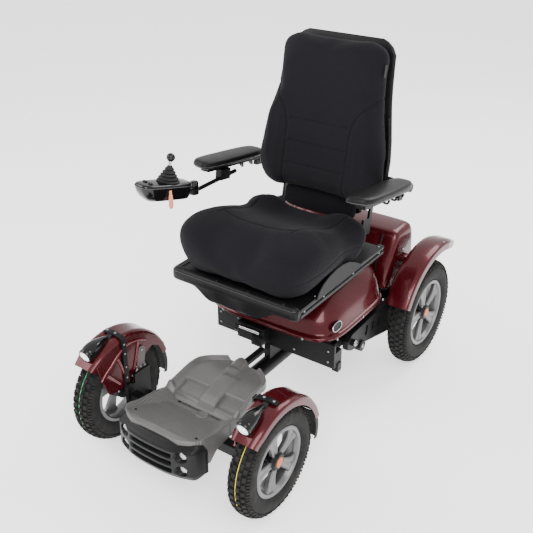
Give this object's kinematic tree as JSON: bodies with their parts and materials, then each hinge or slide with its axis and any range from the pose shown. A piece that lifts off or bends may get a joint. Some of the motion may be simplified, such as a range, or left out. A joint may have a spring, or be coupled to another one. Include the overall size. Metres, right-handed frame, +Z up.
{
  "type": "power wheelchair",
  "caption": "Power wheelchair with a footplate between steered front wheels, sprung drive wheels, a lifting padded seat, a reclining back and a joystick.",
  "frame": {"origin": "on the floor, under the middle of the chair's length and width", "axes": "+X is the seated user's left, +Y points to the rear, +Z up"},
  "size_m": [0.696, 1.343, 1.2274],
  "materials": {
    "burgundy_paint": "metallic gloss paint on moulded panels",
    "frame_black": "black powder coat",
    "moulded_black": "fine grain moulded plastic",
    "tray_taupe": "fine grain moulded plastic with ribbed floor",
    "zinc_steel": "zinc plated",
    "cast_rim": "cast, silver painted",
    "tyre_rubber": "knobbly tread",
    "soft_rubber": "matt",
    "black_fabric": "woven upholstery",
    "pad_skin": "self-skinned foam",
    "lamp_lens": "clear lens over a white lamp",
    "tag_orange": "woven strap"
  },
  "bodies": {
    "chassis": {"chassis_frame": "frame_black", "battery_pack": "moulded_black", "body_shroud": "burgundy_paint", "tower_cover": "burgundy_paint", "rear_fender_left": "burgundy_paint", "rear_fender_right": "burgundy_paint", "control_module": "moulded_black", "beam_sleeve": "frame_black", "lift_column_base": "frame_black"},
    "breaker": {"breaker_button": "moulded_black"},
    "front_frame": {"beam_tube": "zinc_steel", "cable_duct": "moulded_black", "front_axle_beam": "frame_black", "footplate_tray": "tray_taupe", "front_bumper": "moulded_black"},
    "steering_link": {"tie_rod": "frame_black"},
    "lift": {"lift_column_slide": "zinc_steel"},
    "seat": {"seat_frame": "frame_black", "front_trim": "moulded_black", "seat_cushion": "black_fabric"},
    "back": {"back_bracket": "frame_black", "back_shell": "moulded_black", "back_cushion": "black_fabric"},
    "armrest_left": {"armrest_arm_left": "frame_black", "arm_pad_left": "pad_skin"},
    "armrest_right": {"armrest_arm_right": "frame_black", "arm_pad_right": "pad_skin", "joystick_arm": "frame_black"},
    "joystick": {"joystick_housing": "moulded_black", "stick_gaiter": "soft_rubber"},
    "yoke": {"gimbal_yoke": "frame_black"},
    "stick": {"joystick_stick": "frame_black"},
    "speed_key": {"speed_button": "moulded_black"},
    "horn_key": {"horn_button": "moulded_black"},
    "tag": {"key_tag": "tag_orange"},
    "drive_left": {"swing_arm_left": "frame_black", "drive_motor_left": "frame_black"},
    "rear_wheel_left": {"rear_tyre_left": "tyre_rubber", "rear_rim_left": "cast_rim"},
    "knuckle_left": {"knuckle_left": "frame_black", "fender_strap_left": "moulded_black", "front_fender_left": "burgundy_paint", "mud_flap_left": "soft_rubber", "headlight_left": "moulded_black", "headlight_lens_left": "lamp_lens"},
    "front_wheel_left": {"front_tyre_left": "tyre_rubber", "front_rim_left": "cast_rim"},
    "drive_right": {"swing_arm_right": "frame_black", "drive_motor_right": "frame_black"},
    "rear_wheel_right": {"rear_tyre_right": "tyre_rubber", "rear_rim_right": "cast_rim"},
    "knuckle_right": {"knuckle_right": "frame_black", "fender_strap_right": "moulded_black", "front_fender_right": "burgundy_paint", "mud_flap_right": "soft_rubber", "headlight_right": "moulded_black", "headlight_lens_right": "lamp_lens"},
    "front_wheel_right": {"front_tyre_right": "tyre_rubber", "front_rim_right": "cast_rim"}
  },
  "joints": [
    {"name": "beam_extension", "type": "slide", "parent": "chassis", "child": "front_frame", "axis": [0, -1, 0], "range_m": [0, 0.06]},
    {"name": "breaker_press", "type": "slide", "parent": "chassis", "child": "breaker", "axis": [1, 0, 0], "range_m": [0, 0.002], "stiffness_N_per_m": 900},
    {"name": "seat_lift", "type": "slide", "parent": "chassis", "child": "lift", "axis": [0, 0, 1], "range_m": [0, 0.15]},
    {"name": "seat_tilt", "type": "hinge", "parent": "lift", "child": "seat", "pos_m": [0, 0.06, 0.514], "axis": [-1, 0, 0], "range_deg": [0, 8]},
    {"name": "backrest_recline", "type": "hinge", "parent": "seat", "child": "back", "pos_m": [0, 0.236, 0.572], "axis": [-1, 0, 0], "range_deg": [0, 30]},
    {"name": "armrest_left_flip", "type": "hinge", "parent": "back", "child": "armrest_left", "pos_m": [0.283, 0.318, 0.742], "axis": [-1, 0, 0], "range_deg": [0, 82]},
    {"name": "armrest_right_flip", "type": "hinge", "parent": "back", "child": "armrest_right", "pos_m": [-0.283, 0.318, 0.742], "axis": [-1, 0, 0], "range_deg": [0, 82]},
    {"name": "joystick_swing", "type": "hinge", "parent": "armrest_right", "child": "joystick", "pos_m": [-0.268, -0.113, 0.74], "axis": [0, 0, -1], "range_deg": [-8, 30]},
    {"name": "stick_pitch", "type": "hinge", "parent": "joystick", "child": "yoke", "pos_m": [-0.2899, -0.2159, 0.7844], "axis": [0.9781, -0.2079, 0], "range_deg": [-18, 18], "stiffness_Nm_per_rad": 1.2, "deforming": ["stick_gaiter"]},
    {"name": "stick_roll", "type": "hinge", "parent": "yoke", "child": "stick", "pos_m": [-0.2899, -0.2159, 0.7844], "axis": [0.2034, 0.9568, -0.2079], "range_deg": [-18, 18], "stiffness_Nm_per_rad": 1.2, "deforming": ["stick_gaiter"]},
    {"name": "speed_button_press", "type": "slide", "parent": "joystick", "child": "speed_key", "axis": [-0.0432, -0.2034, -0.9781], "range_m": [0, 0.0015], "stiffness_N_per_m": 500},
    {"name": "horn_button_press", "type": "slide", "parent": "joystick", "child": "horn_key", "axis": [-0.0432, -0.2034, -0.9781], "range_m": [0, 0.0015], "stiffness_N_per_m": 500},
    {"name": "key_tag_swing", "type": "hinge", "parent": "joystick", "child": "tag", "pos_m": [-0.2538, -0.2436, 0.7886], "axis": [0.9781, -0.2079, 0], "range_deg": [-40, 40]},
    {"name": "suspension_left", "type": "hinge", "parent": "chassis", "child": "drive_left", "pos_m": [0.24, 0.062, 0.258], "axis": [1, 0, 0], "range_deg": [-5, 4], "stiffness_Nm_per_rad": 4000, "springref_deg": -1.72},
    {"name": "rear_spin_left", "type": "hinge", "parent": "drive_left", "child": "rear_wheel_left", "pos_m": [0.303, 0.472, 0.199], "axis": [1, 0, 0], "continuous": true},
    {"name": "steer_left", "type": "hinge", "parent": "front_frame", "child": "knuckle_left", "pos_m": [0.222, -0.494, 0.178], "axis": [0, 0, 1], "range_deg": [-28, 28]},
    {"name": "front_spin_left", "type": "hinge", "parent": "knuckle_left", "child": "front_wheel_left", "pos_m": [0.303, -0.494, 0.178], "axis": [1, 0, 0], "continuous": true},
    {"name": "suspension_right", "type": "hinge", "parent": "chassis", "child": "drive_right", "pos_m": [-0.24, 0.062, 0.258], "axis": [1, 0, 0], "range_deg": [-5, 4], "stiffness_Nm_per_rad": 4000, "springref_deg": -1.72},
    {"name": "rear_spin_right", "type": "hinge", "parent": "drive_right", "child": "rear_wheel_right", "pos_m": [-0.303, 0.472, 0.199], "axis": [1, 0, 0], "continuous": true},
    {"name": "steer_right", "type": "hinge", "parent": "front_frame", "child": "knuckle_right", "pos_m": [-0.222, -0.494, 0.178], "axis": [0, 0, 1], "range_deg": [-28, 28]},
    {"name": "front_spin_right", "type": "hinge", "parent": "knuckle_right", "child": "front_wheel_right", "pos_m": [-0.303, -0.494, 0.178], "axis": [1, 0, 0], "continuous": true},
    {"name": "tie_rod_pivot", "type": "hinge", "parent": "knuckle_left", "child": "steering_link", "pos_m": [0.222, -0.416, 0.12], "axis": [0, 0, 1], "range_deg": [-28, 28]}
  ],
  "couplings": [
    {"joint": "steer_right", "follows": "steer_left", "ratio": 1},
    {"joint": "tie_rod_pivot", "follows": "steer_left", "ratio": -1}
  ]
}
